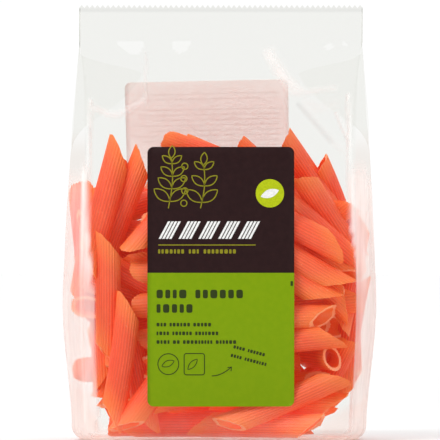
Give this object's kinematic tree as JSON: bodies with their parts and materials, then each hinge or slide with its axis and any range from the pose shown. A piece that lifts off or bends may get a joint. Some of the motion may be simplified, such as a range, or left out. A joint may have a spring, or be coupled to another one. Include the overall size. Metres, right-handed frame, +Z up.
{
  "type": "bag of red lentil pasta",
  "caption": "Clear side-gusset film bag filled with red lentil penne, standing on a flat base, with a crimped zigzag-cut top seal, a dark and green front label and a pale back label.",
  "frame": {"origin": "on the floor, under the middle of the bag", "axes": "+X to the right seen from the front label, +Y from the front label to the back label, +Z up to the top seal"},
  "size_m": [0.1192, 0.0644, 0.164],
  "materials": {
    "film": "clear glossy film over red-orange pasta",
    "front_label": "satin printed paper, dark above and green below",
    "back_label": "satin pale paper"
  },
  "bodies": {
    "root": {"bag": "film", "front_label": "front_label", "back_label": "back_label"}
  },
  "joints": []
}
